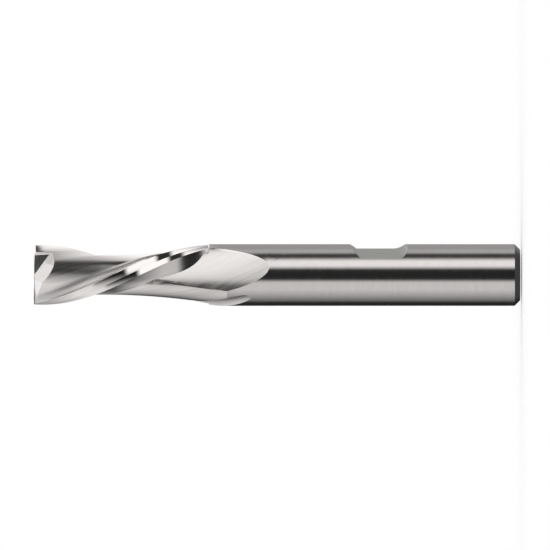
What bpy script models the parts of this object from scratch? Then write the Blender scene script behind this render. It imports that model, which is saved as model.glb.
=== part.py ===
"""Two-flute end mill with a plain shank and a clamping flat.

The tool stands on the end of its shank: Z is its axis, with the cutting end
up, and +X is the outward normal of the clamping flat. One ground piece of
high-speed steel. Lengths below are in millimetres and angles in degrees.
"""

import math

import bmesh
import bpy
import numpy as np
from mathutils import Matrix, Vector

MM = 0.001

# The blank
OVERALL_LENGTH = 63.0
SHANK_DIAMETER = 8.0
CUTTING_DIAMETER = 7.8
SHANK_CHAMFER = 0.7

# The flutes
CORE_DIAMETER = 5.1
HELIX_ANGLE = 25.8
EDGE_ANGLE_AT_TIP = 32.7
LAND_LENGTH = 22.6
SHOULDER_LENGTH = 0.12
HOOK_RADIUS = 1.3
MARGIN_WIDTH = 0.1
PRIMARY_WIDTH = 0.95
PRIMARY_RELIEF = 9.5
SECONDARY_WIDTH = 0.79
SECONDARY_RELIEF = 20.5

# Where the grinding wheels lift out of the flute, measured back from the tip
FLOOR_LIFT_START = 9.0
FLOOR_LIFT_END = 25.0
HOOK_LIFT_START = 13.1
HOOK_LIFT_END = 28.1
RUNOUT_LIFT_START = 13.6
RUNOUT_LIFT_END = 30.5
RUNOUT_TURN = 86.1
RUNOUT_SPREAD = 0.368

# How far the hook's wheel ran over the land beside it while it lifted out
OVERRUN_START = 15.0
FIRST_TOOTH_OVERRUN = 17.0
SECOND_TOOTH_OVERRUN = 4.0

# The cutting end
END_RELIEF_ANGLE = 7.0
END_DISH_ANGLE = 1.0
GASH_FACE_LEAN = 19.8
GASH_WALL_ANGLE = 138.0
GASH_WALL_LEAN = 10.6
GASH_WALL_OFFSET = 0.06
GASH_RAMP_TURN = 71.0
GASH_RAMP_ANGLE = 46.5
GASH_START = 0.06

# The clamping flat, measured up from the end of the shank
FLAT_DEPTH = 1.15
FLAT_START = 16.3
FLAT_END = 20.9
FLAT_RAMP_ANGLE = 42.0
FLAT_END_RADIUS = 2.0

# How finely the surfaces are divided
STATION_STEP = 0.85
RUNOUT_STEP = 0.6
EVEN_OUT_LENGTH = 4.8
BACK_POINTS = 4
RUNOUT_POINTS = 7
FLOOR_POINTS = 8
HOOK_POINTS = 6
LEAST_RUNOUT_ANGLE = 12.0
CUT_MARGIN = 1.0

CUTTING_RADIUS = CUTTING_DIAMETER / 2
SHANK_RADIUS = SHANK_DIAMETER / 2
CORE_RADIUS = CORE_DIAMETER / 2
LEAD = math.pi * CUTTING_DIAMETER / math.tan(math.radians(HELIX_ANGLE))
MARGIN_END = math.degrees(MARGIN_WIDTH / CUTTING_RADIUS)
PRIMARY_END = MARGIN_END + math.degrees(PRIMARY_WIDTH / CUTTING_RADIUS)
SECONDARY_END = PRIMARY_END + math.degrees(SECONDARY_WIDTH / CUTTING_RADIUS)


def clear_scene():
    for obj in list(bpy.data.objects):
        bpy.data.objects.remove(obj, do_unlink=True)


def make_collection(name):
    collection = bpy.data.collections.new(name)
    bpy.context.scene.collection.children.link(collection)
    return collection


def lift(back, start, end):
    """How far a wheel has risen above the core, this far back from the tip.

    A wheel's rim is round, so its path rises with the square of the distance.
    """
    along = max(0.0, back - start) / (end - start)
    return (SHANK_RADIUS - CORE_RADIUS) * along**2


def flat_radius(behind, start, start_radius, relief):
    """Radius of a ground flat that leaves start_radius at the relief angle."""
    height = start_radius * math.cos(math.radians(relief))
    return height / np.cos(np.radians(behind - start - relief))


PRIMARY_END_RADIUS = float(flat_radius(PRIMARY_END, MARGIN_END, CUTTING_RADIUS, PRIMARY_RELIEF))
SECONDARY_SLOPE = SECONDARY_RELIEF - (PRIMARY_END - MARGIN_END)
SECONDARY_END_RADIUS = float(
    flat_radius(SECONDARY_END, PRIMARY_END, PRIMARY_END_RADIUS, SECONDARY_SLOPE)
)
BACK_FOOT = SECONDARY_END + math.degrees(math.acos(CORE_RADIUS / SECONDARY_END_RADIUS))


def land_radius(behind):
    """Margin, primary relief and secondary relief, by angle behind the edge."""
    primary = flat_radius(behind, MARGIN_END, CUTTING_RADIUS, PRIMARY_RELIEF)
    secondary = flat_radius(behind, PRIMARY_END, PRIMARY_END_RADIUS, SECONDARY_SLOPE)
    radius = np.where(behind <= MARGIN_END, CUTTING_RADIUS, primary)
    return np.where(behind > PRIMARY_END, secondary, radius)


def edge_angle(back):
    """Angle of the first tooth's cutting edge about Z, this far back."""
    return EDGE_ANGLE_AT_TIP + 360 * back / LEAD


def overrun(back, most):
    """Angle of land lost beside the hook while its wheel lifts out."""
    along = (back - OVERRUN_START) / (HOOK_LIFT_END - OVERRUN_START)
    return most * math.sin(math.pi * min(1.0, max(0.0, along)))


def floor_shape(back, behind, outer):
    """Flute floor: a round core, and the bowl that the last cut leaves in it.

    Gives the radius at each angle behind the edge, and the bowl's two sides.
    """
    swept = min(outer, CORE_RADIUS + lift(back, FLOOR_LIFT_START, FLOOR_LIFT_END))
    lowest = CORE_RADIUS + lift(back, RUNOUT_LIFT_START, RUNOUT_LIFT_END)
    centre = 360 * back / LEAD - RUNOUT_TURN
    bowl = lowest * (1 + RUNOUT_SPREAD * np.radians(behind - centre) ** 2)
    reach = math.degrees(math.sqrt(max(0.0, swept / lowest - 1) / RUNOUT_SPREAD))
    return np.minimum(swept, bowl), centre - reach, centre + reach


def hook_circle(back, outer):
    """Distance of the hook's centre from the axis, and its angle to the edge."""
    distance = CORE_RADIUS + HOOK_RADIUS + lift(back, HOOK_LIFT_START, HOOK_LIFT_END)
    cosine = (distance**2 + outer**2 - HOOK_RADIUS**2) / (2 * distance * outer)
    return distance, math.degrees(math.acos(min(1.0, cosine)))


def hook_start(distance, centre, to_edge, behind, surface):
    """Angle behind the edge at which the hook cuts into the flute's floor."""
    offset = np.radians(behind - centre)
    inside = HOOK_RADIUS**2 - (distance * np.sin(offset)) ** 2
    hook = distance * np.cos(offset) - np.sqrt(np.maximum(inside, 0.0))
    cut = (inside > 0) & (offset <= 0) & (hook < surface + 1e-9)
    start = behind[np.argmax(cut)] if cut.any() else centre
    return min(start, centre + 0.5 * to_edge - 1.0)


def polar(radii, turns):
    turns = np.radians(turns)
    return np.stack([radii * np.cos(turns), radii * np.sin(turns)], axis=-1)


def hook_points(edge, distance, centre, start, last, outer):
    """The hollow rake face: an arc up to the next edge, which is left out."""
    if distance >= outer + HOOK_RADIUS:
        return polar(outer, edge - np.linspace(start, last, HOOK_POINTS, endpoint=False))
    off = math.radians(start - centre)
    inside = max(0.0, HOOK_RADIUS**2 - (distance * math.sin(off)) ** 2)
    start_radius = min(outer, distance * math.cos(off) - math.sqrt(inside))
    middle = polar(distance, edge - centre)
    first = polar(start_radius, edge - start) - middle
    final = polar(outer, edge - last) - middle
    begin = math.atan2(first[1], first[0])
    sweep = (math.atan2(final[1], final[0]) - begin + math.pi) % (2 * math.pi) - math.pi
    arc = np.degrees(begin + sweep * np.arange(HOOK_POINTS) / HOOK_POINTS)
    return middle + polar(HOOK_RADIUS, arc)


def tooth_profile(back, turned_by, own_overrun, next_overrun):
    """Points of half a section, from one cutting edge back to the next.

    Every section has the same count of points, so that the next can join it:
    the lands, the straight back of the tooth, the bowl, the floor, the hook.
    """
    on_land = back <= LAND_LENGTH
    outer = CUTTING_RADIUS if on_land else SHANK_RADIUS
    edge = edge_angle(back) + turned_by
    first = overrun(back, own_overrun)
    last = 180.0 + overrun(back, next_overrun)
    last_radius = float(land_radius(np.array(last - 180.0))) if on_land else outer

    behind = np.arange(SECONDARY_END, last, 0.05)
    surface, high_side, low_side = floor_shape(back, behind, outer)
    foot = max(high_side, SECONDARY_END + BACK_POINTS)
    if on_land:
        away = np.minimum(behind - BACK_FOOT, 0.0)
        tooth_back = CORE_RADIUS / np.cos(np.radians(away))
        foot = behind[np.argmax(surface >= tooth_back)]
        surface = np.maximum(tooth_back, surface)
    least = LEAST_RUNOUT_ANGLE if on_land else RUNOUT_POINTS / 2
    seam = max(low_side, foot + least)

    distance, to_edge = hook_circle(back, last_radius)
    centre = last - to_edge
    start = hook_start(distance, centre, to_edge, behind, surface)
    start = max(start, seam + FLOOR_POINTS / 2)

    second = max(MARGIN_END, first + 0.7)
    fourth = max(PRIMARY_END, first + 2.0)
    land = np.array([first, second, (second + fourth) / 2, fourth])
    land_radii = land_radius(land) if on_land else np.full(len(land), outer)
    backs = np.linspace(SECONDARY_END, foot, BACK_POINTS, endpoint=False)
    bowls = np.linspace(foot, seam, RUNOUT_POINTS, endpoint=False)
    floors = np.linspace(seam, start, FLOOR_POINTS, endpoint=False)
    flute = np.concatenate([backs, bowls, floors])
    angles = np.concatenate([land, flute])
    radii = np.concatenate([land_radii, np.interp(flute, behind, surface)])
    points = polar(radii, edge - angles)
    return np.concatenate([points, hook_points(edge, distance, centre, start, last, last_radius)])


def section(back):
    """A whole section, which is two teeth a half turn apart."""
    first = tooth_profile(back, 0.0, FIRST_TOOTH_OVERRUN, SECOND_TOOTH_OVERRUN)
    second = tooth_profile(back, 180.0, SECOND_TOOTH_OVERRUN, FIRST_TOOTH_OVERRUN)
    return np.concatenate([first, second])


def shank_outlines(outline):
    """Round sections, whose points spread out little by little to even steps."""
    start = math.atan2(outline[0][1], outline[0][0])
    turns = np.arctan2(outline[:, 1], outline[:, 0]) - start
    turns = -(-turns % (2 * math.pi))
    even = -2 * math.pi * np.arange(len(outline)) / len(outline)
    count = round(EVEN_OUT_LENGTH / RUNOUT_STEP)
    for share in np.arange(1, count + 1) / count:
        yield polar(SHANK_RADIUS, np.degrees(start + turns + share * (even - turns)))


def stations():
    """Distances back from the tip at which the fluted length has a section."""
    fluted = np.linspace(0.0, LAND_LENGTH, math.ceil(LAND_LENGTH / STATION_STEP) + 1)
    first = LAND_LENGTH + SHOULDER_LENGTH
    count = math.ceil((RUNOUT_LIFT_END - first) / RUNOUT_STEP)
    runout = np.linspace(first, RUNOUT_LIFT_END, count + 1)
    return np.concatenate([fluted, runout])


def add_ring(mesh, outline, height):
    return [mesh.verts.new((x * MM, y * MM, height * MM)) for x, y in outline]


def make_body(collection):
    """Lofts the tool through its sections, from the tip to the shank's end."""
    mesh = bmesh.new()
    rings = [add_ring(mesh, section(back), OVERALL_LENGTH - back) for back in stations()]
    back = RUNOUT_LIFT_END
    for outline in shank_outlines(section(back)):
        back += RUNOUT_STEP
        rings.append(add_ring(mesh, outline, OVERALL_LENGTH - back))
    rings.append(add_ring(mesh, outline, SHANK_CHAMFER))
    rings.append(add_ring(mesh, outline * (1 - SHANK_CHAMFER / SHANK_RADIUS), 0.0))
    for upper, lower in zip(rings, rings[1:]):
        for i, corner in enumerate(upper):
            after = (i + 1) % len(upper)
            mesh.faces.new((corner, lower[i], lower[after], upper[after]))
    mesh.faces.new(rings[0])
    mesh.faces.new(reversed(rings[-1]))
    bmesh.ops.recalc_face_normals(mesh, faces=mesh.faces)
    return make_object(mesh, "end_mill", collection)


def make_object(mesh, name, collection):
    data = bpy.data.meshes.new(name)
    mesh.to_mesh(data)
    mesh.free()
    obj = bpy.data.objects.new(name, data)
    collection.objects.link(obj)
    return obj


def cut_away(body, cutter):
    """Takes the cutter's shape out of the body and keeps the cutter hidden."""
    cutter.hide_render = True
    cutter.display_type = "WIRE"
    boolean = body.modifiers.new(cutter.name, "BOOLEAN")
    boolean.operation = "DIFFERENCE"
    boolean.solver = "EXACT"
    boolean.object = cutter


def make_flat_cutter(collection):
    """The clamping flat's outline in the XZ plane, carried across the shank.

    It is a ramp at the cutting end, a flat floor and a round run-in behind.
    """
    floor = SHANK_RADIUS - FLAT_DEPTH
    top = SHANK_RADIUS + CUT_MARGIN
    ramp = (top - floor) / math.tan(math.radians(FLAT_RAMP_ANGLE))
    reach = math.acos(max(-1.0, 1 - (top - floor) / FLAT_END_RADIUS))
    outline = [(top, FLAT_END + ramp), (floor, FLAT_END)]
    for turn in np.linspace(0.0, reach, 9):
        rise = FLAT_END_RADIUS * (1 - math.cos(turn))
        outline.append((floor + rise, FLAT_START - FLAT_END_RADIUS * math.sin(turn)))
    half_width = SHANK_RADIUS + CUT_MARGIN
    mesh = bmesh.new()
    face = mesh.faces.new([mesh.verts.new((x * MM, -half_width * MM, z * MM)) for x, z in outline])
    pushed = bmesh.ops.extrude_face_region(mesh, geom=[face])["geom"]
    moved = [part for part in pushed if isinstance(part, bmesh.types.BMVert)]
    bmesh.ops.translate(mesh, verts=moved, vec=(0.0, 2 * half_width * MM, 0.0))
    bmesh.ops.recalc_face_normals(mesh, faces=mesh.faces)
    return make_object(mesh, "clamping_flat_cutter", collection)


def make_block(size, centre):
    """A box as a bmesh, with its size and centre in millimetres."""
    mesh = bmesh.new()
    bmesh.ops.create_cube(mesh, size=1.0)
    bmesh.ops.scale(mesh, vec=Vector(size) * MM, verts=mesh.verts)
    bmesh.ops.translate(mesh, vec=Vector(centre) * MM, verts=mesh.verts)
    return mesh


def trim_block(mesh, point, normal):
    """Keeps the side of the plane that its normal points to, closed again."""
    geometry = mesh.verts[:] + mesh.edges[:] + mesh.faces[:]
    bmesh.ops.bisect_plane(
        mesh, geom=geometry, plane_co=Vector(point) * MM, plane_no=normal, clear_inner=True
    )
    bmesh.ops.holes_fill(mesh, edges=mesh.edges[:])


def place_at_tip(mesh, turned_by):
    """Turns a cutter made for an edge on +X to its tooth at the tip."""
    turn = Matrix.Rotation(math.radians(EDGE_ANGLE_AT_TIP + turned_by), 4, "Z")
    lift_up = Matrix.Translation((0.0, 0.0, OVERALL_LENGTH * MM))
    bmesh.ops.transform(mesh, matrix=lift_up @ turn, verts=mesh.verts)
    bmesh.ops.recalc_face_normals(mesh, faces=mesh.faces)


def make_end_relief_cutter(collection, name, turned_by):
    """What lies above the relief behind one end edge, on its own half.

    The edge lies on +X and the relief falls away towards -Y. The edge itself
    falls a little towards the axis, which gives the end its dish.
    """
    size = 4 * SHANK_RADIUS
    mesh = make_block((size, size, size), (0.0, -size / 2, size / 4))
    dish = math.tan(math.radians(END_DISH_ANGLE))
    relief = math.tan(math.radians(END_RELIEF_ANGLE))
    trim_block(mesh, (CUTTING_RADIUS, 0.0, 0.0), (-dish, -relief, 1.0))
    place_at_tip(mesh, turned_by)
    return make_object(mesh, name, collection)


def make_gash_cutter(collection, name, turned_by):
    """The notch that gives an end edge its rake face, open on the flute side.

    The edge lies on +X. The rake face starts on it and leans back, the far
    wall lies across the notch, and a ramp lets the notch out into the flute.
    """
    size = 4 * SHANK_RADIUS
    mesh = make_block((size, size, size), (0.0, 0.0, 0.0))
    lean = math.tan(math.radians(GASH_FACE_LEAN))
    trim_block(mesh, (0.0, 0.0, 0.0), (0.0, 1.0, lean))
    wall = math.radians(GASH_WALL_ANGLE)
    wall_normal = np.array([math.sin(wall), -math.cos(wall)])
    wall_lean = math.tan(math.radians(GASH_WALL_LEAN))
    trim_block(mesh, (*(GASH_WALL_OFFSET * wall_normal), 0.0), (*wall_normal, wall_lean))
    ramp = math.radians(GASH_RAMP_ANGLE)
    outward = polar(math.cos(ramp), GASH_RAMP_TURN)
    trim_block(mesh, (0.0, 0.0, -GASH_START), (*outward, math.sin(ramp)))
    place_at_tip(mesh, turned_by)
    return make_object(mesh, name, collection)


def make_material():
    """Ground high-speed steel, bright and a little satin."""
    material = bpy.data.materials.new("ground_steel")
    material.use_nodes = True
    shader = material.node_tree.nodes["Principled BSDF"]
    shader.inputs["Base Color"].default_value = (0.62, 0.61, 0.60, 1.0)
    shader.inputs["Metallic"].default_value = 1.0
    shader.inputs["Roughness"].default_value = 0.25
    return material


def main():
    clear_scene()
    parts = make_collection("end_mill_tool")
    cutters = make_collection("cutters")
    body = make_body(parts)
    cut_away(body, make_flat_cutter(cutters))
    for number, turned_by in enumerate((0.0, 180.0), start=1):
        relief = make_end_relief_cutter(cutters, f"end_relief_cutter_{number}", turned_by)
        cut_away(body, relief)
    for number, turned_by in enumerate((0.0, 180.0), start=1):
        gash = make_gash_cutter(cutters, f"gash_cutter_{number}", turned_by)
        cut_away(body, gash)
    body.data.materials.append(make_material())
    body.data.shade_smooth()
    body.data.set_sharp_from_angle(angle=math.radians(25))


main()
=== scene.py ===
# %% [markdown]
# # A ground end mill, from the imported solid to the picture
# A two-flute end mill is one piece of high-speed steel. Its shape comes from
# grinding wheels: each wheel sweeps one surface and leaves fine lines along
# its own path. So the visible tool is worked out here surface by surface, and
# a UV map stores which way the wheels went, for the finish to follow. The
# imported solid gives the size, and this finer skin stands for it in the picture.

# %% Load the frame
import math

import bmesh
import bpy
import numpy as np
from mathutils import Matrix, Vector


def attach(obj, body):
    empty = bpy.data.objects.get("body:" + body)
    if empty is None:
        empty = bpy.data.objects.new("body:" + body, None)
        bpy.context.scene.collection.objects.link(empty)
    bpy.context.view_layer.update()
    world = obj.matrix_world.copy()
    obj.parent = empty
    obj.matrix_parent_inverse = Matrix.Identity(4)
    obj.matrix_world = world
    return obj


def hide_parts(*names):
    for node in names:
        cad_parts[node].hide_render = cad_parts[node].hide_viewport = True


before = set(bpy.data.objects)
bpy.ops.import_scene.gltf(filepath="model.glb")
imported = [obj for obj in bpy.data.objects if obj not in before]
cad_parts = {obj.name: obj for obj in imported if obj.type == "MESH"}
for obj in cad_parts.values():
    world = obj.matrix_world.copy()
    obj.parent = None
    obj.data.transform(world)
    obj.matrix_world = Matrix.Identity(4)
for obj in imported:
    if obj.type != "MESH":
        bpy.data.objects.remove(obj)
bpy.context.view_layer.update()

# %% [markdown]
# ## The view
# The photograph looks straight across the tool, with the cutting end to the
# left and the clamping flat turned almost to the top. The lens is long and the
# tool is small, so there is next to no perspective. The camera therefore
# stands well back along a line 13.8 degrees round from -Y, rolled by a quarter
# turn so that the tool lies along the picture.

# %% The camera
# degrees round from -Y, then metres: distance, height in the middle, width shown
VIEW_TURN = 13.8
VIEW_DISTANCE = 2.4
VIEW_CENTRE_Z = 0.03176
VIEW_WIDTH = 0.07127
SENSOR_WIDTH = 36.0

turn = math.radians(VIEW_TURN)
to_camera = Vector((math.sin(turn), -math.cos(turn), 0.0))
picture_up = Vector((math.cos(turn), math.sin(turn), 0.0))
picture_right = Vector((0.0, 0.0, -1.0))

camera_data = bpy.data.cameras.new("camera")
camera_data.sensor_width = SENSOR_WIDTH
camera_data.lens = SENSOR_WIDTH * VIEW_DISTANCE / VIEW_WIDTH
camera = bpy.data.objects.new("camera", camera_data)
axes = Matrix((picture_right, picture_up, to_camera)).transposed().to_4x4()
axes.translation = Vector((0.0, 0.0, VIEW_CENTRE_Z)) + to_camera * VIEW_DISTANCE
camera.matrix_world = axes
bpy.context.scene.collection.objects.link(camera)
bpy.context.scene.camera = camera
print("lens:", round(camera_data.lens, 1), "mm")

# %% [markdown]
# ## The sizes
# These are the tool's own named sizes, in millimetres and degrees, and the
# main ones are the solid's too. The flute, the lands and the end were measured
# on the photograph against the shank, which is a standard 8 mm one. The
# widening of the hook, the steeper end of the bowl and the gash at the tip are
# worked out more finely here than in the solid.

# %% Sizes of the tool
MM = 0.001
OVERALL_LENGTH = 63.0
SHANK_RADIUS = 4.0
CUTTING_RADIUS = 3.9
CORE_RADIUS = 2.55
SHANK_CHAMFER = 0.7
EDGE_ANGLE_AT_TIP = 32.7
HELIX_ANGLE = 25.8
LEAD = math.pi * 2 * CUTTING_RADIUS / math.tan(math.radians(HELIX_ANGLE))
LAND_LENGTH = 22.6
SHOULDER_LENGTH = 0.12
print("lead of the flutes:", round(LEAD, 1), "mm")

# %% Sizes of the run-out
# where each wheel starts to lift and where it has left the bar, back from the tip
FLOOR_LIFT = (9.0, 25.0)
HOOK_LIFT = (13.1, 28.1)
BOWL_LIFT = (13.6, 30.5)
RUNOUT_END = BOWL_LIFT[1]

# the bowl's middle, in degrees ahead of the edge at the tip
BOWL_AHEAD = 86.1
# growth of the bowl's radius, as a share of it for one radian squared
BOWL_SPREAD = 0.368
# near its end the side towards the tooth spreads faster by this share
BOWL_STEEPENING = 0.32
STEEPENING_START = 20.6
STEEPENING_LENGTH = 2.0
# rounding of the seam between floor and bowl, and the length it fades over
SEAM_ROUNDING = 0.10
SEAM_FADE_LENGTH = 4.0

HOOK_RADIUS = 1.3
HOOK_WIDENING = 1.2
WIDENING_START = 19.0
WIDENING_LENGTH = 5.0

# the hook's wheel takes some land on its way out, in degrees, and more on one tooth
OVERRUN_START = 15.0
FIRST_TOOTH_OVERRUN = 17.0
SECOND_TOOTH_OVERRUN = 4.0
print("the last wheel leaves the bar", RUNOUT_END, "mm back from the tip")

# %% [markdown]
# ## The lands
# Behind each cutting edge the tooth has a thin margin on the full circle and
# then two flat relief strips, each ground at a steeper angle than the last.
# A flat seen across the tool is a straight line, and in polar terms a straight
# line is a constant height over the cosine of the angle from its normal.


# %% Land radius
def flat_radius(behind, start, start_radius, relief):
    """Radius of a flat that leaves start_radius at an angle of relief degrees.

    Height of the flat over the cosine of the angle from the flat's normal.
    """
    height = start_radius * math.cos(math.radians(relief))
    return height / np.cos(np.radians(behind - start - relief))


MARGIN_WIDTH = 0.1
PRIMARY_WIDTH = 0.95
SECONDARY_WIDTH = 0.79
PRIMARY_RELIEF = 9.5
SECONDARY_RELIEF = 20.5
MARGIN_END = math.degrees(MARGIN_WIDTH / CUTTING_RADIUS)
PRIMARY_END = MARGIN_END + math.degrees(PRIMARY_WIDTH / CUTTING_RADIUS)
SECONDARY_END = PRIMARY_END + math.degrees(SECONDARY_WIDTH / CUTTING_RADIUS)
SECONDARY_SLOPE = SECONDARY_RELIEF - (PRIMARY_END - MARGIN_END)
PRIMARY_END_RADIUS = float(flat_radius(PRIMARY_END, MARGIN_END, CUTTING_RADIUS, PRIMARY_RELIEF))
SECONDARY_END_RADIUS = float(
    flat_radius(SECONDARY_END, PRIMARY_END, PRIMARY_END_RADIUS, SECONDARY_SLOPE)
)
BACK_FOOT = SECONDARY_END + math.degrees(math.acos(CORE_RADIUS / SECONDARY_END_RADIUS))


def land_radius(behind):
    """Full circle on the margin, then one flat after the other."""
    primary = flat_radius(behind, MARGIN_END, CUTTING_RADIUS, PRIMARY_RELIEF)
    secondary = flat_radius(behind, PRIMARY_END, PRIMARY_END_RADIUS, SECONDARY_SLOPE)
    radius = np.where(behind <= MARGIN_END, CUTTING_RADIUS, primary)
    return np.where(behind > PRIMARY_END, secondary, radius)


print("land ends", round(SECONDARY_END, 1), "degrees behind the edge")

# %% [markdown]
# ## The flute
# A flute has a round core for its floor, a straight flank on the back of the
# tooth, and a hollow hook under the next edge. Where the wheels lift out, the
# floor rises to the shank, and the last cut leaves a bright bowl in it, bright
# partly from reflections and partly from a painted highlight in its colour. The
# floor is one function of two parameters: the distance back from the tip, and
# the angle behind the edge. Both come in as whole arrays, one row per section.


# %% Flute radius
def lifted(back, start_end):
    """Rise of a wheel above the core, with the square of the distance run."""
    start, end = start_end
    along = np.maximum(0.0, back - start) / (end - start)
    return (SHANK_RADIUS - CORE_RADIUS) * along**2


def overrun(back, most):
    """Land lost beside the hook, in degrees: half a sine wave along the run-out."""
    along = (back - OVERRUN_START) / (HOOK_LIFT[1] - OVERRUN_START)
    return most * np.sin(np.pi * np.clip(along, 0.0, 1.0))


def hook_size(back):
    """Radius of the hook's arc, which widens as its wheel leaves the bar."""
    along = (back - WIDENING_START) / WIDENING_LENGTH
    return HOOK_RADIUS + HOOK_WIDENING * np.clip(along, 0.0, 1.0)


def floor_shape(back, behind, outer):
    """Radius of the floor: the lower of the risen core and a parabolic bowl.

    The bowl's radius grows with the square of the angle from its middle, and
    on the tooth's side near its end a little faster. Behind the shoulder the
    bowl alone cuts that side. Where core and bowl meet, a small parabola comes
    off the lower of them and rounds the seam. The angles at which the bowl
    begins and ends are given too.
    """
    swept = np.minimum(outer, CORE_RADIUS + lifted(back, FLOOR_LIFT))
    high_swept = np.where(back > LAND_LENGTH, outer, swept)
    lowest = CORE_RADIUS + lifted(back, BOWL_LIFT)
    centre = 360 * back / LEAD - BOWL_AHEAD
    steepened = np.clip((back - STEEPENING_START) / STEEPENING_LENGTH, 0.0, 1.0)
    high_spread = BOWL_SPREAD * (1 + BOWL_STEEPENING * steepened)
    spread_here = np.where(behind < centre, high_spread, BOWL_SPREAD)
    bowl = lowest * (1 + spread_here * np.radians(behind - centre) ** 2)
    high_reach = np.degrees(np.sqrt(np.maximum(0.0, high_swept / lowest - 1)))
    low_reach = np.degrees(np.sqrt(np.maximum(0.0, swept / lowest - 1)))
    high_side = centre - high_reach / np.sqrt(high_spread)
    low_side = centre + low_reach / math.sqrt(BOWL_SPREAD)
    swept = np.where(behind < centre, high_swept, swept)
    faded = np.clip((FLOOR_LIFT[1] - back) / SEAM_FADE_LENGTH, 0.001, 1.0)
    blend = SEAM_ROUNDING * faded
    softened = np.maximum(blend - np.abs(swept - bowl), 0.0) ** 2 / (4 * blend)
    return np.minimum(swept, bowl) - softened, high_side, low_side


print("hook radius, in mm:", HOOK_RADIUS, "at the tip and", HOOK_RADIUS + HOOK_WIDENING, "where it leaves")

# %% [markdown]
# ## One section
# Every section gets the same count of points, spaced evenly between the same
# landmarks: edge, margin, two strips, flank, bowl, floor, hook. Rows of such
# sections make a clean grid, because a landmark keeps its column all along the
# tool, and so each ridge of the real tool runs along an edge of the mesh.

# %% Columns and landmarks
LAND_COUNTS = (2, 8, 8)
FLUTE_COUNTS = (14, 26, 22)
HOOK_COUNT = 20
HALF_COUNT = sum(LAND_COUNTS) + sum(FLUTE_COUNTS) + HOOK_COUNT


def spread(marks, counts):
    """Columns evenly spaced from each landmark to the next, for every row."""
    parts = []
    for low, high, count in zip(marks, marks[1:], counts):
        share = np.arange(count)[None, :] / count
        parts.append(low[:, None] + (high - low)[:, None] * share)
    return np.concatenate(parts, axis=1)


def first_true(mask, default):
    """Index of the first true column in each row, or the default where none is."""
    return np.where(mask.any(axis=1), np.argmax(mask, axis=1), default)


def polar(radius, degrees):
    """Points at a radius and an angle: radius times cosine and radius times sine."""
    angle = np.radians(degrees)
    return np.stack([radius * np.cos(angle), radius * np.sin(angle)], axis=-1)


print("points in half a section:", HALF_COUNT)

# %% [markdown]
# The floor's radius is first worked out on a fine row of angles. That row
# shows where the flank's foot, the bowl and the hook meet it, and the final
# columns then read their radius from it. Neighbouring landmarks stay a few
# degrees apart, so that no columns fold over each other.

# %% Floor and flank on a fine row
FINE = np.linspace(SECONDARY_END, 200.0, 4000)
# least degrees from one landmark to the next
LAND_GAPS = (0.7, 2.0)
FLUTED_SEAM_GAP = 12.0
RUNOUT_GAP = 3.0
HOOK_GAP = 4.0


def flute_surface(back, outer, on_land):
    """Radius on the fine row, the flank's foot and the end of the bowl.

    On the lands the flank is a straight line, so its radius is the core's over
    the cosine of the angle from its foot, and the higher of flank and floor
    stays. Behind the shoulder there is no flank, and the bowl's own rim is the
    landmark.
    """
    surface, high_side, low_side = floor_shape(back[:, None], FINE[None, :], outer[:, None])
    flank = CORE_RADIUS / np.cos(np.radians(np.minimum(FINE - BACK_FOOT, 0.0)))
    crease = FINE[first_true(surface >= flank[None, :], 0)]
    rim = np.maximum(high_side[:, 0], SECONDARY_END + RUNOUT_GAP)
    foot = np.where(on_land, crease, rim)
    surface = np.where(on_land[:, None], np.maximum(flank[None, :], surface), surface)
    seam = np.maximum(low_side[:, 0], foot + np.where(on_land, FLUTED_SEAM_GAP, RUNOUT_GAP))
    return surface, foot, seam


def at_angles(surface, angles):
    """Radius at any angles, straight between the points of the fine row."""
    column = (angles - FINE[0]) / (FINE[1] - FINE[0])
    low = np.clip(column.astype(int), 0, len(FINE) - 2)
    rows = np.arange(len(surface))[:, None]
    share = column - low
    return surface[rows, low] * (1 - share) + surface[rows, low + 1] * share


print("fine row:", len(FINE), "angles from", round(FINE[0], 1), "to", FINE[-1], "degrees")

# %% [markdown]
# The hook is an arc of a circle that is tangent to the core and passes through
# the next edge. The law of cosines gives the angle of its centre, and the arc
# starts where it first cuts below the floor.


# %% The hook
def hook_landmarks(size, distance, last, last_radius, surface, seam):
    """Angle of the hook's centre and of its start, for every row.

    The centre's angle comes from a triangle of axis, centre and edge, and the
    near side of the circle is d cos(a) - sqrt(r^2 - (d sin(a))^2).
    """
    cosine = (distance**2 + last_radius**2 - size**2) / (2 * distance * last_radius)
    to_edge = np.degrees(np.arccos(np.minimum(1.0, cosine)))
    centre = last - to_edge
    off = np.radians(FINE[None, :] - centre[:, None])
    inside = size[:, None] ** 2 - (distance[:, None] * np.sin(off)) ** 2
    hook = distance[:, None] * np.cos(off) - np.sqrt(np.maximum(inside, 0.0))
    cut = (inside > 0) & (off <= 0) & (hook < surface + 1e-9)
    start = np.where(cut.any(axis=1), FINE[np.argmax(cut, axis=1)], centre)
    start = np.minimum(start, centre + 0.5 * to_edge - 1.0)
    return centre, np.maximum(start, seam + HOOK_GAP)


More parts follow.
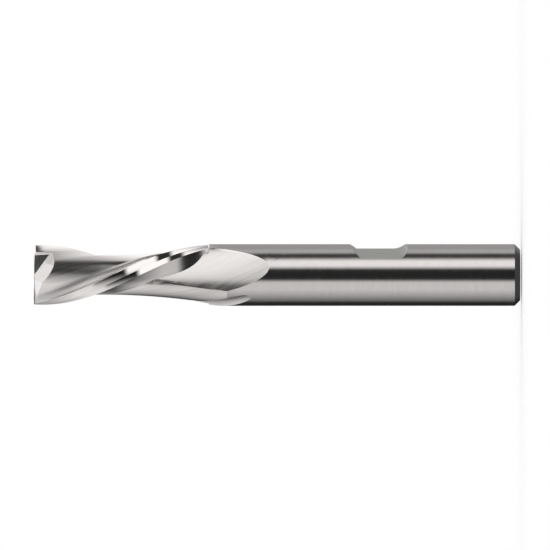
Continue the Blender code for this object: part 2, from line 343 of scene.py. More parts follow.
def hook_rows(edge, size, distance, centre, steps, last, outer):
    """Arc about the hook's centre, from the floor to the edge, for every row.

    Where the hook's wheel has left the bar, the points lie on the full circle.
    """
    start = steps[:, 0]
    off = np.radians(start - centre)
    inside = np.maximum(0.0, size**2 - (distance * np.sin(off)) ** 2)
    start_radius = np.minimum(outer, distance * np.cos(off) - np.sqrt(inside))
    middle = polar(distance, edge - centre)
    begin = polar(start_radius, edge - start) - middle
    final = polar(outer, edge - last) - middle
    begin = np.arctan2(begin[:, 1], begin[:, 0])
    final = np.arctan2(final[:, 1], final[:, 0])
    sweep = (final - begin + np.pi) % (2 * np.pi) - np.pi
    share = np.arange(HOOK_COUNT)[None, :] / HOOK_COUNT
    arc = np.degrees(begin[:, None] + sweep[:, None] * share)
    curved = middle[:, None, :] + polar(size[:, None], arc)
    round_part = polar(outer[:, None], edge[:, None] - steps)
    gone = (distance >= outer + size)[:, None, None]
    return np.where(gone, round_part, curved)


print("columns of the hook:", HOOK_COUNT)


# %% Half a section
def tooth_rows(back, turned_by, own_overrun, next_overrun):
    """Half sections for all distances back: points, and angles behind the edge.

    Lands and flute come from their radius at each angle, the hook from its arc.
    """
    on_land = back <= LAND_LENGTH
    outer = np.where(on_land, CUTTING_RADIUS, SHANK_RADIUS)
    edge = EDGE_ANGLE_AT_TIP + 360 * back / LEAD + turned_by
    first = overrun(back, own_overrun)
    last = 180.0 + overrun(back, next_overrun)
    last_radius = np.where(on_land, land_radius(last - 180.0), outer)

    surface, foot, seam = flute_surface(back, outer, on_land)
    size = hook_size(back)
    distance = CORE_RADIUS + size + lifted(back, HOOK_LIFT)
    centre, start = hook_landmarks(size, distance, last, last_radius, surface, seam)

    second = np.maximum(MARGIN_END, first + LAND_GAPS[0])
    third = np.maximum(PRIMARY_END, first + LAND_GAPS[1])
    fourth = np.full_like(back, SECONDARY_END)
    lands = spread([first, second, third, fourth], LAND_COUNTS)
    flutes = spread([fourth, foot, seam, start], FLUTE_COUNTS)
    land_radii = np.where(on_land[:, None], land_radius(lands), SHANK_RADIUS)
    angles = np.concatenate([lands, flutes], axis=1)
    radii = np.concatenate([land_radii, at_angles(surface, flutes)], axis=1)
    points = polar(radii, edge[:, None] - angles)

    steps = spread([start, last], (HOOK_COUNT,))
    hooks = hook_rows(edge, size, distance, centre, steps, last, last_radius)
    return np.concatenate([points, hooks], axis=1), np.concatenate([angles, steps], axis=1)


# the shoulder is the step between the last row of one and the first of the other
FLUTED_ROWS = 150
RUNOUT_ROWS = 72
fluted = np.linspace(0.0, LAND_LENGTH, FLUTED_ROWS)
runout = np.linspace(LAND_LENGTH + SHOULDER_LENGTH, RUNOUT_END, RUNOUT_ROWS)
back = np.concatenate([fluted, runout])
half_one, angle_one = tooth_rows(back, 0.0, FIRST_TOOTH_OVERRUN, SECOND_TOOTH_OVERRUN)
half_two, angle_two = tooth_rows(back, 180.0, SECOND_TOOTH_OVERRUN, FIRST_TOOTH_OVERRUN)
outlines = np.concatenate([half_one, half_two], axis=1)
print("fluted rows and columns:", outlines.shape[:2])

# %% [markdown]
# ## The shank
# Behind the run-out the shank is plainly round. The last fluted section has
# its points crowded where the hook was, so over a few millimetres they slide
# round to even steps. Each row slides only a little, and the surface stays a
# true cylinder. A chamfer with a slightly rounded foot closes the far end.

# %% Shank rows
EVEN_OUT_LENGTH = 4.8
EVEN_OUT_ROWS = 24
PLAIN_ROWS = 10
ROUND_HEIGHT = 0.12

last_row = outlines[-1]
start_turn = math.atan2(last_row[0, 1], last_row[0, 0])
turns = np.arctan2(last_row[:, 1], last_row[:, 0]) - start_turn
turns = -(-turns % (2 * math.pi))
even = -2 * math.pi * np.arange(len(turns)) / len(turns)
share = np.linspace(0.0, 1.0, EVEN_OUT_ROWS + 1)[1:, None]
slid = np.degrees(start_turn + turns + share * (even - turns))
slid_rows = polar(SHANK_RADIUS, slid)
slid_back = RUNOUT_END + share[:, 0] * EVEN_OUT_LENGTH

# profile of the chamfer as (height, radius), with small rounds at its corners
chamfer_profile = np.array(
    [
        (SHANK_CHAMFER + ROUND_HEIGHT, SHANK_RADIUS),
        (SHANK_CHAMFER + 0.03, SHANK_RADIUS - 0.006),
        (SHANK_CHAMFER - 0.05, SHANK_RADIUS - 0.055),
        (0.06, SHANK_RADIUS - SHANK_CHAMFER + 0.055),
        (0.015, SHANK_RADIUS - SHANK_CHAMFER),
        (0.0, SHANK_RADIUS - SHANK_CHAMFER - 0.06),
    ]
)
end_turns = np.degrees(start_turn + even)
end_rows = polar(chamfer_profile[:, 1][:, None], end_turns[None, :])
plain_end = OVERALL_LENGTH - SHANK_CHAMFER - ROUND_HEIGHT
plain_back = np.linspace(slid_back[-1], plain_end, PLAIN_ROWS + 2)[1:-1]
plain_rows = np.repeat(polar(SHANK_RADIUS, end_turns)[None], len(plain_back), axis=0)
all_rows = np.concatenate([outlines, slid_rows, plain_rows, end_rows])
end_back = OVERALL_LENGTH - chamfer_profile[:, 0]
all_back = np.concatenate([back, slid_back, plain_back, end_back])
print("all rows:", all_rows.shape)

# %% [markdown]
# ## The mesh
# The rows become one closed skin: each pair of rows is joined by four-sided
# faces, and the two ends are closed by one flat face each. The skin also gets
# a UV map in millimetres that says how the wheels went: U runs along the
# grinding lines and V across them. On lands, flutes and hooks the lines follow
# the helix, and in the bowl they run straight the way the wheel went out.


# %% Skin from rows
def faces_between(row_count, column_count):
    """Corner numbers of the faces between neighbouring rows and columns."""
    row = np.arange(row_count - 1)[:, None]
    column = np.arange(column_count)[None, :]
    after = (column + 1) % column_count
    low, high = row * column_count, (row + 1) * column_count
    corners = np.stack([low + column, low + after, high + after, high + column], axis=-1)
    return corners.reshape(-1, 4)


row_count, column_count = all_rows.shape[:2]
heights = np.broadcast_to((OVERALL_LENGTH - all_back)[:, None], (row_count, column_count))
skin_points = np.concatenate([all_rows, heights[..., None]], axis=-1) * MM
quads = faces_between(row_count, column_count)
print("faces:", len(quads))


# %% Which wheel made each face
# the bowl's columns belong to the flute up to here
BOWL_START = 15.5
# a face this close to the full radius is uncut shank, and this near the chamfer turned
UNCUT_DEPTH = 0.012
CHAMFER_NEAR = 0.02


def zones():
    """Zone of each face: 0 lands, 1 flute, 2 bowl, 3 hook, 4 shank, 5 chamfer."""
    column_zone = np.repeat(
        [0, 1, 2, 1, 3],
        [sum(LAND_COUNTS), FLUTE_COUNTS[0], FLUTE_COUNTS[1], FLUTE_COUNTS[2], HOOK_COUNT],
    )
    zone = np.tile(np.tile(column_zone, 2), (row_count - 1, 1))
    middle_back = (all_back[1:] + all_back[:-1]) / 2
    middle_radius = np.linalg.norm((all_rows[1:] + all_rows[:-1]) / 2, axis=-1)
    uncut = (middle_radius > SHANK_RADIUS - UNCUT_DEPTH) & (middle_back[:, None] > LAND_LENGTH)
    zone = np.where(uncut, 4, zone)
    zone = np.where((zone == 2) & (middle_back[:, None] < BOWL_START), 1, zone)
    zone = np.where(middle_back[:, None] > RUNOUT_END, 4, zone)
    chamfer_back = OVERALL_LENGTH - SHANK_CHAMFER - CHAMFER_NEAR
    return np.where(middle_back[:, None] > chamfer_back, 5, zone)


face_zone = zones().reshape(-1)
print("faces in each zone:", np.bincount(face_zone))

# %% Grid coordinates for the grinding lines
# what turns angles into millimetres, and the tilt of the wheel that cut the bowl
MEAN_RADIUS = 3.3
WHEEL_TILT = math.radians(26.0)
BOWL_TURN = EDGE_ANGLE_AT_TIP + BOWL_AHEAD


def line_coordinates():
    """U along the wheel's path and V across it, in millimetres, at each corner.

    On the helix, U is the distance back and V the angle behind the edge times
    a mean radius. In a bowl they are distances along two fixed directions, one
    along the wheel's rim and one along its axle.
    """
    angles = np.concatenate([angle_one, angle_two + 180.0], axis=1)
    below = np.repeat(angles[-1:], row_count - len(angles), axis=0)
    angles = np.concatenate([angles, below])
    angles = np.concatenate([angles, angles[:, :1] + 360.0], axis=1)
    helix_u = np.broadcast_to(all_back[:, None], angles.shape)
    helix_v = np.radians(angles) * MEAN_RADIUS
    wrapped = np.concatenate([skin_points, skin_points[:, :1]], axis=1) / MM
    column = np.arange(column_count + 1)
    bowl_turn = np.radians(np.where(column < HALF_COUNT, BOWL_TURN, BOWL_TURN + 180.0))
    around = np.stack([-np.sin(bowl_turn), np.cos(bowl_turn)], axis=-1)
    sideways = (wrapped[..., :2] * around[None]).sum(axis=-1)
    bowl_u = sideways * math.sin(WHEEL_TILT) - wrapped[..., 2] * math.cos(WHEEL_TILT)
    bowl_v = sideways * math.cos(WHEEL_TILT) + wrapped[..., 2] * math.sin(WHEEL_TILT)
    return np.stack([helix_u, helix_v], axis=-1), np.stack([bowl_u, bowl_v], axis=-1)


def corner_values(grid):
    """Values of a grid at the four corners of each face, in the faces' order."""
    low, high = grid[:-1], grid[1:]
    corners = [low[:, :-1], low[:, 1:], high[:, 1:], high[:, :-1]]
    return np.stack(corners, axis=2).reshape(-1, 4, 2)


helix_uv, bowl_uv = (corner_values(grid) for grid in line_coordinates())
corner_uv = np.where((face_zone == 2)[:, None, None], bowl_uv, helix_uv)
print("corners with a direction:", corner_uv.shape[0] * 4)

# %% [markdown]
# ## The finish
# Ground steel is a mirror with very fine parallel scratches. The scratches
# spread reflections sideways and show as faint bright and dark streaks, whose
# spacing and depth differ from one wheel to the next. One node group makes the
# streaks from a noise that is stretched along the lines. Each surface places
# the group in its own material, with its own values.


# %% The grinding lines, a node group
# the wide streaks are this share as fine as the others
WIDE_SHARE = 0.22


def make_lines_group():
    """Streaks: a stretched noise at two widths, as a height and as a mask.

    The mask is a half plus the contrast times what the mean of both noises
    has over a half, kept between 0 and 1.
    """
    group = bpy.data.node_groups.new("grinding_lines", "ShaderNodeTree")
    sockets = group.interface
    sockets.new_socket("Vector", in_out="INPUT", socket_type="NodeSocketVector")
    for name, value in (("Fineness", 20.0), ("Stretch", 0.03), ("Contrast", 1.0)):
        socket = sockets.new_socket(name, in_out="INPUT", socket_type="NodeSocketFloat")
        socket.default_value = value
    for name in ("Height", "Mask"):
        sockets.new_socket(name, in_out="OUTPUT", socket_type="NodeSocketFloat")
    nodes, links = group.nodes, group.links
    inputs = nodes.new("NodeGroupInput")
    outputs = nodes.new("NodeGroupOutput")
    split = nodes.new("ShaderNodeSeparateXYZ")
    links.new(inputs.outputs["Vector"], split.inputs[0])
    along = nodes.new("ShaderNodeMath")
    along.operation = "MULTIPLY"
    links.new(split.outputs["X"], along.inputs[0])
    links.new(inputs.outputs["Stretch"], along.inputs[1])
    joined = nodes.new("ShaderNodeCombineXYZ")
    links.new(along.outputs[0], joined.inputs["X"])
    links.new(split.outputs["Y"], joined.inputs["Y"])
    links.new(split.outputs["Z"], joined.inputs["Z"])
    fine = nodes.new("ShaderNodeTexNoise")
    links.new(joined.outputs[0], fine.inputs["Vector"])
    links.new(inputs.outputs["Fineness"], fine.inputs["Scale"])
    fine.inputs["Detail"].default_value = 3.0
    wide = nodes.new("ShaderNodeTexNoise")
    links.new(joined.outputs[0], wide.inputs["Vector"])
    slower = nodes.new("ShaderNodeMath")
    slower.operation = "MULTIPLY"
    slower.inputs[1].default_value = WIDE_SHARE
    links.new(inputs.outputs["Fineness"], slower.inputs[0])
    links.new(slower.outputs[0], wide.inputs["Scale"])
    wide.inputs["Detail"].default_value = 4.0
    mixed = nodes.new("ShaderNodeMix")
    mixed.inputs["Factor"].default_value = 0.5
    links.new(fine.outputs["Fac"], mixed.inputs["A"])
    links.new(wide.outputs["Fac"], mixed.inputs["B"])
    sharper = nodes.new("ShaderNodeMath")
    sharper.operation = "MULTIPLY_ADD"
    links.new(mixed.outputs["Result"], sharper.inputs[0])
    links.new(inputs.outputs["Contrast"], sharper.inputs[1])
    shift = nodes.new("ShaderNodeMath")
    shift.operation = "MULTIPLY_ADD"
    links.new(inputs.outputs["Contrast"], shift.inputs[0])
    shift.inputs[1].default_value = -0.5
    shift.inputs[2].default_value = 0.5
    links.new(shift.outputs[0], sharper.inputs[2])
    sharper.use_clamp = True
    links.new(sharper.outputs[0], outputs.inputs["Mask"])
    links.new(fine.outputs["Fac"], outputs.inputs["Height"])
    return group


LINES_GROUP = make_lines_group()
made = [item.name for item in LINES_GROUP.interface.items_tree if item.in_out == "OUTPUT"]
print("group outputs:", made)


# %% [markdown]
# ## One material for each kind of ground surface
# Lands, flutes, bowls and hooks read the UV map. The shank, the flat and the
# end have lines along or across the axis, so they read object coordinates that
# a Mapping node turns and scales to millimetres. All are the same steel and
# differ in how rough the wheel left them. Their base colours differ too: the
# bowl's paler colour is a painted highlight, and the chamfer's much darker one
# is painted shade.


# %% Steel materials
LINE_DEPTH = 0.00002


def make_steel(name, base, rough, bump, fineness, stretch=0.03, contrast=2.0, axes=None, dark=0.86):
    """Ground steel: between the lines the base colour, in them a share of it.

    rough is the roughness in and between the lines, bump their strength,
    fineness how many there are in a millimetre or so, stretch how much less
    they change along their run, and dark their share of the base colour.
    axes is None for the UV map, or a turn for object coordinates.
    """
    material = bpy.data.materials.new(name)
    material.use_nodes = True
    nodes, links = material.node_tree.nodes, material.node_tree.links
    shader = nodes["Principled BSDF"]
    shader.inputs["Metallic"].default_value = 1.0
    coordinates = nodes.new("ShaderNodeTexCoord")
    mapping = nodes.new("ShaderNodeMapping")
    if axes is None:
        links.new(coordinates.outputs["UV"], mapping.inputs["Vector"])
    else:
        links.new(coordinates.outputs["Object"], mapping.inputs["Vector"])
        mapping.inputs["Rotation"].default_value = axes
        mapping.inputs["Scale"].default_value = (1000.0, 1000.0, 1000.0)
    lines = nodes.new("ShaderNodeGroup")
    lines.node_tree = LINES_GROUP
    lines.inputs["Fineness"].default_value = fineness
    lines.inputs["Stretch"].default_value = stretch
    lines.inputs["Contrast"].default_value = contrast
    links.new(mapping.outputs[0], lines.inputs["Vector"])
    colour = nodes.new("ShaderNodeMix")
    colour.data_type = "RGBA"
    colour.inputs["A"].default_value = (*[x * dark for x in base], 1.0)
    colour.inputs["B"].default_value = (*base, 1.0)
    links.new(lines.outputs["Mask"], colour.inputs["Factor"])
    links.new(colour.outputs["Result"], shader.inputs["Base Color"])
    roughness = nodes.new("ShaderNodeMapRange")
    roughness.inputs["To Min"].default_value = rough[0]
    roughness.inputs["To Max"].default_value = rough[1]
    links.new(lines.outputs["Mask"], roughness.inputs["Value"])
    links.new(roughness.outputs["Result"], shader.inputs["Roughness"])
    relief = nodes.new("ShaderNodeBump")
    relief.inputs["Strength"].default_value = bump
    relief.inputs["Distance"].default_value = LINE_DEPTH
    links.new(lines.outputs["Height"], relief.inputs["Height"])
    links.new(relief.outputs["Normal"], shader.inputs["Normal"])
    return material


STEEL = (0.82, 0.81, 0.80)
# a paler copy of the same steel for the bowl: a painted highlight that makes the bowl show bright
BOWL_STEEL_PAINTED_HIGHLIGHT = (0.92, 0.91, 0.89)
GASH_STEEL = (0.90, 0.89, 0.88)
FLAT_STEEL = (0.84, 0.86, 0.83)
# a much darker copy of the same steel for the chamfer: painted shade that makes the chamfer show as a dark
# band
CHAMFER_STEEL_PAINTED_SHADE = (0.5, 0.5, 0.5)
ACROSS = (0.0, 0.0, 0.0)
ALONG = (0.0, math.radians(90), 0.0)
ZONE_MATERIALS = [
    make_steel("land_ground", STEEL, (0.06, 0.12), 0.10, 5.0),
    make_steel("flute_ground", STEEL, (0.12, 0.22), 0.40, 2.2, 0.03, 3.0, dark=0.74),
    # the bowl's paler base colour is a painted highlight
    make_steel("bowl_ground_painted_highlight", BOWL_STEEL_PAINTED_HIGHLIGHT, (0.24, 0.36), 0.30, 1.8, 0.05, 3.6, dark=0.72),
    make_steel("hook_ground", STEEL, (0.32, 0.44), 0.40, 3.0, 0.03, 3.0, dark=0.80),
    make_steel("shank_ground", STEEL, (0.13, 0.19), 0.06, 6.0, 0.08, 1.6, ACROSS),
    # the chamfer's dark base colour is painted shade; its roughness is the turned finish
    make_steel("chamfer_turned_painted_shade", CHAMFER_STEEL_PAINTED_SHADE, (0.30, 0.42), 0.2, 5.0, 0.1, 1.5, ACROSS),
    make_steel("flat_ground", FLAT_STEEL, (0.34, 0.46), 0.3, 4.0, 0.05, 2.0, ALONG),
    make_steel("end_ground", STEEL, (0.12, 0.20), 0.2, 5.0, 0.1, 2.0, ACROSS),
    make_steel("gash_ground", GASH_STEEL, (0.08, 0.16), 0.2, 5.0, 0.1, 2.0, ACROSS),
]
# places in the list, as the zones count them
CHAMFER_FINISH = 5
FLAT_FINISH = 6
END_FINISH = 7
GASH_FINISH = 8
print("materials:", [material.name for material in ZONE_MATERIALS])

# %% [markdown]
# ## Cutting the flat and the end
# The clamping flat, the end reliefs and the gashes are cut by Booleans out of
# the skin, as in the solid. Each cutter is a block trimmed by planes, or a
# profile carried across the tool, and is thrown away afterwards. Its faces
# carry the number of their own finish, and the cut surface keeps it.


# %% Mesh objects
def new_mesh_object(name, points, faces, finish, uv=None):
    """An object from an array of points, faces of any size and finish numbers."""
    mesh = bpy.data.meshes.new(name)
    mesh.from_pydata(points.reshape(-1, 3).tolist(), [], faces)
    mesh.polygons.foreach_set("material_index", np.asarray(finish, np.int32))
    layer = mesh.uv_layers.new(name="lines")
    if uv is not None:
        layer.data.foreach_set("uv", uv.reshape(-1).astype(np.float32))
    for material in ZONE_MATERIALS:
        mesh.materials.append(material)
    obj = bpy.data.objects.new(name, mesh)
    bpy.context.scene.collection.objects.link(obj)
    return obj


top_cap = list(range(column_count))
bottom_cap = list(range((row_count - 1) * column_count, row_count * column_count))
skin_faces = quads.tolist() + [top_cap[::-1], bottom_cap]
skin_finish = np.concatenate([face_zone, [END_FINISH, CHAMFER_FINISH]])
cap_uv = np.zeros((2 * column_count, 2))
skin_uv = np.concatenate([corner_uv.reshape(-1, 2), cap_uv])
tool = new_mesh_object("end_mill_ground", skin_points, skin_faces, skin_finish, skin_uv)
print("skin:", len(tool.data.vertices), "points")


# %% [markdown]
# A convex block is the set of points on the inner side of some planes. Its
# corners are the points where three planes meet and no other plane is passed,
# and each plane's face is its corners in order of their angle about the face's
# middle. That is short to work out for a handful of planes.


# %% Convex blocks
def convex_block(normals, offsets):
    """Points and faces of the block where normal . point <= offset for all planes."""
    normals = np.asarray(normals, float)
    lengths = np.linalg.norm(normals, axis=1)
    normals, offsets = normals / lengths[:, None], np.asarray(offsets, float) / lengths
    count = len(normals)
    triples = np.array(np.meshgrid(*[np.arange(count)] * 3, indexing="ij")).reshape(3, -1).T
    triples = triples[(triples[:, 0] < triples[:, 1]) & (triples[:, 1] < triples[:, 2])]
    systems = normals[triples]
    solvable = np.abs(np.linalg.det(systems)) > 1e-9
    triples, systems = triples[solvable], systems[solvable]
    corners = np.linalg.solve(systems, offsets[triples][..., None])[..., 0]
    allowed = (corners @ normals.T <= offsets + 1e-7).all(axis=1)
    corners = np.unique(np.round(corners[allowed], 7), axis=0)
    faces = []
    for normal, offset in zip(normals, offsets):
        on = np.flatnonzero(np.abs(corners @ normal - offset) < 1e-5)
        if len(on) < 3:
            continue
        side = np.linalg.svd(normal[None])[2][1]
        across = np.cross(normal, side)
        spokes = corners[on] - corners[on].mean(axis=0)
        order = np.argsort(np.arctan2(spokes @ across, spokes @ side))
        faces.append(on[order].tolist())
    return corners, faces


def turned_to_tooth(points, turned_by):
    """Turns points made for an edge on +X about the axis, and lifts them to the tip."""
    angle = math.radians(EDGE_ANGLE_AT_TIP + turned_by)
    cosine, sine = math.cos(angle), math.sin(angle)
    turn = np.array([[cosine, sine, 0], [-sine, cosine, 0], [0, 0, 1]])
    return points @ turn + np.array([0.0, 0.0, OVERALL_LENGTH])


BOX = [(1, 0, 0), (-1, 0, 0), (0, 1, 0), (0, -1, 0), (0, 0, 1), (0, 0, -1)]
print("corners of a unit box:", len(convex_block(BOX, [1.0] * 6)[0]))

# %% [markdown]
# The end relief falls 7 degrees behind the end edge, and the edge itself dips
# 1 degree to the axis. The gash is a notch between the rake face of the end
# edge, the wall on the other tooth, and two ramps out into the flute: a steep
# one towards the other tooth and a shallow one towards the edge's corner. Both
# are worked out for a tooth whose edge is on +X, with the tip at height 0.

# %% Cutters at the end
# half the size of a block before it is trimmed, well outside the tool
BLOCK_REACH = 8.0
DISH = math.tan(math.radians(1.0))
RELIEF = math.tan(math.radians(7.0))
# the rake face and the wall both lean away from upright by these angles
RAKE_LEAN = math.tan(math.radians(19.8))
WALL_LEAN = math.tan(math.radians(10.6))
# the wall: its direction from the edge and how far it stands off the axis
WALL = math.radians(166.5)
WALL_OFFSET = -0.03
# the gash stops this far on the other side of the axis
GASH_REACH = 2.5
# for each ramp its direction from the edge, its slope from upright and its start
RAMPS = [(114.2, 44.4, 0.06), (71.4, 60.1, -0.247)]


def relief_cutter(turned_by):
    """Above the plane z = dish (x - R) + relief y, on the side behind the edge."""
    planes = BOX + [(DISH, RELIEF, -1.0)]
    limits = [BLOCK_REACH, BLOCK_REACH, 0.0, BLOCK_REACH, BLOCK_REACH, BLOCK_REACH]
    points, faces = convex_block(planes, limits + [DISH * CUTTING_RADIUS])
    return turned_to_tooth(points, turned_by), faces, END_FINISH


def gash_cutter(turned_by, ramp_turn, ramp_angle, ramp_start):
    """Between the end edge's rake face, the wall and one ramp."""
    ramp_turn, ramp_angle = math.radians(ramp_turn), math.radians(ramp_angle)
    ramp_flat, ramp_up = math.cos(ramp_angle), math.sin(ramp_angle)
    planes = BOX + [
        (0.0, -1.0, -RAKE_LEAN),
        (-math.sin(WALL), math.cos(WALL), -WALL_LEAN),
        (-ramp_flat * math.cos(ramp_turn), -ramp_flat * math.sin(ramp_turn), -ramp_up),
    ]
    limits = [BLOCK_REACH, GASH_REACH, BLOCK_REACH, BLOCK_REACH, BLOCK_REACH, BLOCK_REACH]
    points, faces = convex_block(planes, limits + [0.0, -WALL_OFFSET, ramp_start * ramp_up])
    return turned_to_tooth(points, turned_by), faces, GASH_FINISH


print("cuts at the end:", 2 + 2 * len(RAMPS))

# %% [markdown]
# The clamping flat was ground across the tool by a wheel with a round corner.
# It left a level floor, a run-in of the wheel's own radius on the shank's side
# and a straight ramp on the other. The wheel ran a little off square, so both
# ends of the flat slope across the tool.

# %% Cutter of the flat
# heights along the tool are measured from the end of the shank
FLAT_DEPTH = 1.15
RAMP_ANGLE = 42.0
RAMP_FOOT = 20.9
RUN_IN_FOOT = 16.15
RUN_IN_RADIUS = 1.5
FLAT_SKEW = 0.10
FLAT_REACH = 5.0


def flat_cutter():
    """A profile in X and Z, as ramp, floor and round run-in, carried along Y.

    The run-in is a quarter circle, and Z moves by a share of Y on the way.
    """
    floor, top = SHANK_RADIUS - FLAT_DEPTH, SHANK_RADIUS + 1.0
    ramp = (top - floor) / math.tan(math.radians(RAMP_ANGLE))
    turns = np.linspace(0.0, math.pi / 2, 40)
    arc_x = floor + RUN_IN_RADIUS * (1 - np.cos(turns))
    arc_z = RUN_IN_FOOT - RUN_IN_RADIUS * np.sin(turns)
    arc = np.concatenate([np.stack([arc_x, arc_z], axis=-1), [(top, arc_z[-1])]])
    outline = np.concatenate([[(top, RAMP_FOOT + ramp), (floor, RAMP_FOOT)], arc])
    count = len(outline)
    middle = np.stack([outline[:, 0], np.zeros(count), outline[:, 1]], axis=-1)
    sideways = np.array([0.0, FLAT_REACH, FLAT_REACH * FLAT_SKEW])
    ring = np.arange(count)
    after = (ring + 1) % count
    sides = np.stack([ring, after, after + count, ring + count], axis=-1)
    faces = sides[:, ::-1].tolist() + [ring.tolist(), (ring[::-1] + count).tolist()]
    return np.concatenate([middle - sideways, middle + sideways]), faces, FLAT_FINISH


print("points on the flat's outline:", len(flat_cutter()[0]) // 2)


# %% Take the cutters away
def take_away(target, points, faces, finish):
    """Subtracts the block from the target's mesh and throws the block away."""
    block = new_mesh_object("block", points * MM, faces, np.full(len(faces), finish))
    fix = bmesh.new()
    fix.from_mesh(block.data)
    bmesh.ops.recalc_face_normals(fix, faces=fix.faces)
    fix.to_mesh(block.data)
    fix.free()
    boolean = target.modifiers.new("cut", "BOOLEAN")
    boolean.operation = "DIFFERENCE"
    boolean.solver = "EXACT"
    boolean.object = block
    graph = bpy.context.evaluated_depsgraph_get()
    mesh = bpy.data.meshes.new_from_object(target.evaluated_get(graph))
    target.modifiers.remove(boolean)
    target.data = mesh
    bpy.data.objects.remove(block)


take_away(tool, *flat_cutter())
for tooth in (0.0, 180.0):
    take_away(tool, *relief_cutter(tooth))
    for ramp in RAMPS:
        take_away(tool, *gash_cutter(tooth, *ramp))
print("faces after the cuts:", len(tool.data.polygons))

# %% [markdown]
# Smooth shading with sharp ridges finishes the skin. Neighbouring faces of the
# sweeps differ by a few degrees at most, and the strips on a land by about ten,
# so the limit for a sharp ridge lies between the two.

# %% Shading
RIDGE_ANGLE = 8.0
tool.data.shade_smooth()
tool.data.set_sharp_from_angle(angle=math.radians(RIDGE_ANGLE))
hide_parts("end_mill")
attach(tool, "root")
triangles = sum(len(face.vertices) - 2 for face in tool.data.polygons)
print("triangles:", triangles)

# %% [markdown]
# ## Floor and world
# Both are plain white. The floor is a large square just under the tool's end,
# and reflections don't see it.


# %% World and floor
WHITE = (1.0, 1.0, 1.0, 1.0)
FLOOR_REACH = 3.0
FLOOR_HEIGHT = -0.0002


def make_world():
    """Plain white all round."""
    world = bpy.data.worlds.new("studio")
    world.use_nodes = True
    background = world.node_tree.nodes["Background"]
    background.inputs["Color"].default_value = WHITE
    background.inputs["Strength"].default_value = 1.0
    bpy.context.scene.world = world


def make_floor():
    """A large square, with its four corners at the floor's height."""
    across = FLOOR_REACH * np.array([-1.0, 1.0, 1.0, -1.0])
    along = FLOOR_REACH * np.array([-1.0, -1.0, 1.0, 1.0])
    corners = np.stack([across, along, np.full(4, FLOOR_HEIGHT)], axis=-1)
    mesh = bpy.data.meshes.new("floor")
    mesh.from_pydata(corners.tolist(), [], [(0, 1, 2, 3)])
    material = bpy.data.materials.new("floor_white")
    material.use_nodes = True
    shader = material.node_tree.nodes["Principled BSDF"]
    shader.inputs["Base Color"].default_value = WHITE
    shader.inputs["Roughness"].default_value = 1.0
    shader.inputs["Specular IOR Level"].default_value = 0.0
    mesh.materials.append(material)
    floor = bpy.data.objects.new("floor", mesh)
    floor.visible_glossy = False
    bpy.context.scene.collection.objects.link(floor)


make_world()
make_floor()
print("floor:", 2 * FLOOR_REACH, "m wide")

# %% [markdown]
# ## The light tent
# Ground steel shows its surroundings more than itself, so the bands along the
# tool are the light tent round it: bright cloth above and below, and a dark
# gap where the camera looks in. The tent is a round wall about the tool's
# axis, open at the top and dark at its base, that only reflections can see.
# Its brightness changes with the angle round the axis and with the height,
# and a colour attribute carries it. The tent stands still when the camera
# moves, so the bands belong to the tool and not to the picture.

# %% Brightness of the tent
TENT_RADIUS = 0.03
BASE_LEVEL = 0.10
CLOTH_TINT = (1.0, 0.975, 0.97)
# plans of cloth, gaps and lamps, with straight ramps from one to the next:
# (degrees up from the camera's direction, about the tool, and brightness there)
TENT_LEVELS = {
    "shank": [
        (-180, 0.03), (-120, 0.02), (-52, 0.69), (-26, 0.69), (-15, 0.02), (19, 0.02),
        (32, 1.0), (50, 1.0), (65, 0.05), (78, 0.05), (86, 0.42), (96, 0.50),
        (110, 0.38), (172, 0.36), (180, 0.15),
    ],
    "land": [
        (-180, 0.05), (-140, 0.10), (-109, 0.50), (-91, 0.65), (-76, 0.75), (-54, 0.75),
        (-46, 0.02), (3, 0.01), (10, 1.3), (55, 1.3), (62, 0.03), (80, 0.03),
        (88, 1.3), (130, 1.4), (180, 0.90),
    ],
    "core": [
        (-180, 0.20), (-130, 0.50), (-100, 0.75), (-80, 0.95), (-55, 0.95), (-28, 0.62),
        (-5, 0.38), (10, 0.12), (20, 0.05), (68, 0.05), (83, 0.14), (100, 0.50),
        (122, 0.70), (152, 0.90), (180, 0.90),
    ],
    "tip": [
        (-180, 0.90), (-22, 0.90), (-14, 0.05), (34, 0.05), (42, 0.90), (60, 0.90),
        (80, 1.2), (170, 1.3), (180, 0.90),
    ],
    "above": [(-180, 0.90), (-90, 0.80), (0, 0.62), (60, 0.62), (90, 0.90), (180, 0.90)],
}
# (height in metres, which of these tables holds there)
TENT_HEIGHTS = [
    (-0.020, "shank"), (0.040, "shank"), (0.044, "land"), (0.0505, "land"),
    (0.0545, "core"), (0.064, "core"), (0.068, "tip"), (0.0755, "tip"),
    (0.079, "above"), (0.100, "above"),
]
TENT_TURNS = np.radians(np.arange(-180, 180, 2.0))
TENT_STEPS_UP = np.arange(-0.020, 0.1001, 0.001)


def tent_levels(angles, heights):
    """Brightness by angle and height, straight between the tables' entries."""
    steps = np.degrees(angles)
    rows = np.array([np.interp(steps, *np.array(TENT_LEVELS[name]).T) for _, name in TENT_HEIGHTS])
    known = np.array([height for height, _ in TENT_HEIGHTS])
    columns = [np.interp(heights, known, rows[:, k]) for k in range(len(steps))]
    return np.array(columns).T


print("tent's grid:", len(TENT_STEPS_UP), "heights by", len(TENT_TURNS), "angles")


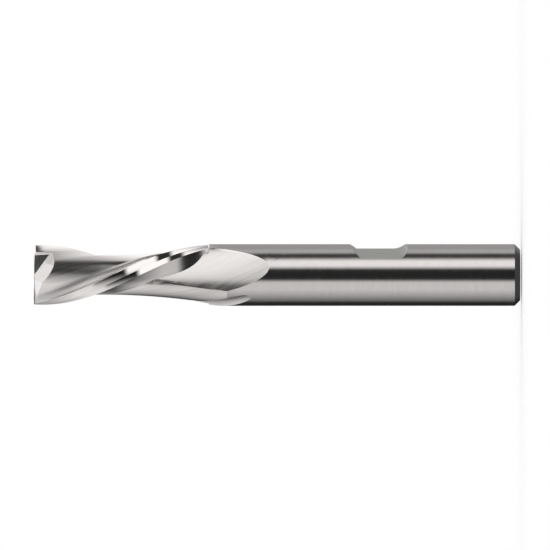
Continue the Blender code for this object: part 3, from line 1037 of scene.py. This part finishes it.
# %% The tent
def tent_cloth():
    """Glowing cloth whose brightness is the mesh's colour at each point."""
    material = bpy.data.materials.new("tent_cloth")
    material.use_nodes = True
    nodes, links = material.node_tree.nodes, material.node_tree.links
    nodes.remove(nodes["Principled BSDF"])
    glow = nodes.new("ShaderNodeEmission")
    level = nodes.new("ShaderNodeAttribute")
    level.attribute_name = "level"
    links.new(level.outputs["Color"], glow.inputs["Color"])
    links.new(glow.outputs[0], nodes["Material Output"].inputs["Surface"])
    return material


def make_tent():
    """A round wall with a dark base, on a grid of angles and heights.

    A point of the wall is the radius times cosine forward plus sine upward, in
    the picture's sense, at each height.
    """
    angles, heights = TENT_TURNS, TENT_STEPS_UP
    forward, up = np.array(to_camera), np.array(picture_up)
    ring = TENT_RADIUS * (np.cos(angles)[:, None] * forward + np.sin(angles)[:, None] * up)
    points = np.repeat(ring[None], len(heights), axis=0)
    points[..., 2] = heights[:, None]
    faces = faces_between(len(heights), len(angles)).tolist()
    base = (np.arange(len(angles)) + len(heights) * len(angles)).tolist()
    points = np.concatenate([points.reshape(-1, 3), points[0]])
    base_levels = np.full(len(base), BASE_LEVEL)
    levels = np.concatenate([tent_levels(angles, heights).reshape(-1), base_levels])
    mesh = bpy.data.meshes.new("light_tent")
    mesh.from_pydata(points.tolist(), [], faces + [base])
    colours = np.ones((len(levels), 4))
    colours[:, :3] = levels[:, None] * np.array(CLOTH_TINT)
    layer = mesh.color_attributes.new("level", "FLOAT_COLOR", "POINT")
    layer.data.foreach_set("color", colours.reshape(-1).astype(np.float32))
    mesh.materials.append(tent_cloth())
    tent = bpy.data.objects.new("light_tent", mesh)
    tent.visible_camera = False
    tent.visible_diffuse = False
    tent.visible_shadow = False
    tent.visible_transmission = False
    bpy.context.scene.collection.objects.link(tent)


make_tent()
print("tent:", 2 * TENT_RADIUS, "m across")

# %% [markdown]
# ## Finish
# The picture keeps Blender's plain colours.

# %% Plain colours
bpy.context.scene.view_settings.view_transform = "Standard"
